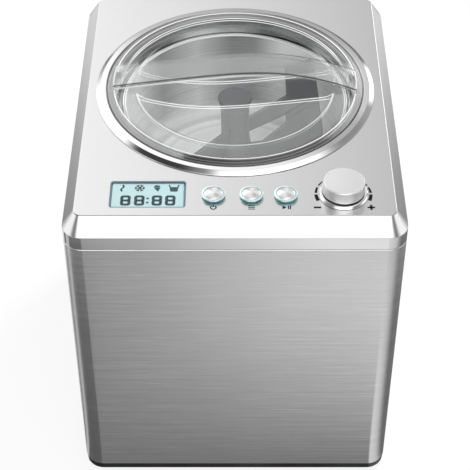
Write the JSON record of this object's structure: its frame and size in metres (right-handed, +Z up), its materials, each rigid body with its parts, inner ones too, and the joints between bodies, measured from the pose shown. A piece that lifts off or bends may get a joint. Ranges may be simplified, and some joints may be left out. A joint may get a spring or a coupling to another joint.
{
  "type": "ice cream maker",
  "caption": "Counter-top compressor ice cream maker: steel cabinet, round well with lift-out bowl and turning paddle under a clear domed lid, display, keys and a knob.",
  "frame": {"origin": "on the floor under the middle of the cabinet", "axes": "+Z up, front face towards -Y, +X to the right of someone facing the front"},
  "size_m": [0.272, 0.32, 0.3315],
  "materials": {
    "base_plastic": "glossy black moulded",
    "foot_rubber": "matt",
    "steel_wrap": "brushed along the width",
    "rear_steel": "satin",
    "silver_deck": "satin silver",
    "gland_rubber": "matt",
    "bright_ring": "polished",
    "collar_plastic": "satin",
    "clear_lid": "clear polished",
    "bowl_steel": "spun satin",
    "paddle_plastic": "satin grey",
    "barrel_aluminium": "plain drawn",
    "copper": "drawn copper tube",
    "foam": "moulded foam",
    "bearing_plastic": "matt",
    "shaft_steel": "ground",
    "gear_plastic": "moulded",
    "gearbox_aluminium": "die cast",
    "motor_steel": "plated",
    "frame_steel": "galvanised",
    "compressor_black": "black enamel",
    "grommet_rubber": "matt",
    "relay_plastic": "matt",
    "condenser_aluminium": "plain",
    "fan_plastic": "matt",
    "board_green": "lacquered board",
    "window_pane": "clear",
    "lcd_panel": "pale lit panel",
    "key_silver": "turned",
    "key_ring": "pale lit ring",
    "switch_plastic": "matt"
  },
  "bodies": {
    "cabinet": {"base_pan": "base_plastic", "body_wrap": "steel_wrap", "rear_panel": "rear_steel", "top_cover": "silver_deck", "cord_gland": "gland_rubber", "bezel_ring": "bright_ring", "well_collar": "collar_plastic", "cooling_barrel": "barrel_aluminium", "evaporator_coil": "copper", "insulation_jacket": "foam", "shaft_bearing": "bearing_plastic", "idler_pin": "shaft_steel", "gearbox_case": "gearbox_aluminium", "gearbox_cover": "gearbox_aluminium", "drive_motor": "motor_steel", "support_frame": "frame_steel", "compressor": "compressor_black", "compressor_relay": "relay_plastic", "condenser": "condenser_aluminium", "fan_frame": "fan_plastic", "filter_drier": "copper", "discharge_pipe": "copper", "liquid_pipe": "copper", "capillary_tube": "copper", "suction_pipe": "copper", "power_board": "board_green", "control_board": "board_green", "display_window": "window_pane", "lcd_module": "lcd_panel", "knob_collar": "bright_ring", "encoder": "switch_plastic", "foot_front_left": "foot_rubber", "compressor_grommet_front_left": "grommet_rubber", "foot_front_right": "foot_rubber", "compressor_grommet_front_right": "grommet_rubber", "foot_rear_left": "foot_rubber", "compressor_grommet_rear_left": "grommet_rubber", "foot_rear_right": "foot_rubber", "compressor_grommet_rear_right": "grommet_rubber", "power_ring": "key_ring", "power_switch": "switch_plastic", "menu_ring": "key_ring", "menu_switch": "switch_plastic", "start_ring": "key_ring", "start_switch": "switch_plastic"},
    "bowl": {"bowl": "bowl_steel"},
    "lid": {"lid": "clear_lid"},
    "paddle": {"paddle": "paddle_plastic"},
    "drive": {"drive_shaft": "shaft_steel", "output_gear": "gear_plastic"},
    "idler": {"idler_gear": "gear_plastic"},
    "motor_rotor": {"motor_pinion": "shaft_steel"},
    "fan": {"fan_rotor": "fan_plastic"},
    "power_key": {"power_button": "key_silver"},
    "menu_key": {"menu_button": "key_silver"},
    "start_key": {"start_button": "key_silver"},
    "control_knob": {"knob": "key_silver", "encoder_shaft": "shaft_steel"}
  },
  "joints": [
    {"name": "bowl_lift", "type": "slide", "parent": "cabinet", "child": "bowl", "axis": [0, 0, 1], "range_m": [0, 0.16]},
    {"name": "lid_lift", "type": "slide", "parent": "bowl", "child": "lid", "axis": [0, 0, 1], "range_m": [0, 0.12]},
    {"name": "shaft_turn", "type": "hinge", "parent": "cabinet", "child": "drive", "pos_m": [0, 0.0152, 0.22], "axis": [0, 0, 1], "continuous": true},
    {"name": "paddle_turn", "type": "hinge", "parent": "bowl", "child": "paddle", "pos_m": [0, 0.0152, 0.25], "axis": [0, 0, 1], "continuous": true},
    {"name": "idler_turn", "type": "hinge", "parent": "cabinet", "child": "idler", "pos_m": [0, -0.0348, 0.175], "axis": [0, 0, 1], "continuous": true},
    {"name": "motor_turn", "type": "hinge", "parent": "cabinet", "child": "motor_rotor", "pos_m": [0, 0.0152, 0.17], "axis": [0, 0, 1], "continuous": true},
    {"name": "fan_spin", "type": "hinge", "parent": "cabinet", "child": "fan", "pos_m": [0.0857, 0.005, 0.0685], "axis": [1, 0, 0], "continuous": true},
    {"name": "knob_turn", "type": "hinge", "parent": "cabinet", "child": "control_knob", "pos_m": [0.0853, -0.1245, 0.316], "axis": [0, 0, 1], "continuous": true},
    {"name": "power_press", "type": "slide", "parent": "cabinet", "child": "power_key", "axis": [0, 0, -1], "range_m": [0, 0.0012], "stiffness_N_per_m": 400, "springref_m": -0.001},
    {"name": "menu_press", "type": "slide", "parent": "cabinet", "child": "menu_key", "axis": [0, 0, -1], "range_m": [0, 0.0012], "stiffness_N_per_m": 400, "springref_m": -0.001},
    {"name": "start_press", "type": "slide", "parent": "cabinet", "child": "start_key", "axis": [0, 0, -1], "range_m": [0, 0.0012], "stiffness_N_per_m": 400, "springref_m": -0.001}
  ],
  "couplings": [
    {"joint": "paddle_turn", "follows": "shaft_turn", "ratio": 1},
    {"joint": "idler_turn", "follows": "shaft_turn", "ratio": -3},
    {"joint": "motor_turn", "follows": "shaft_turn", "ratio": 9}
  ]
}
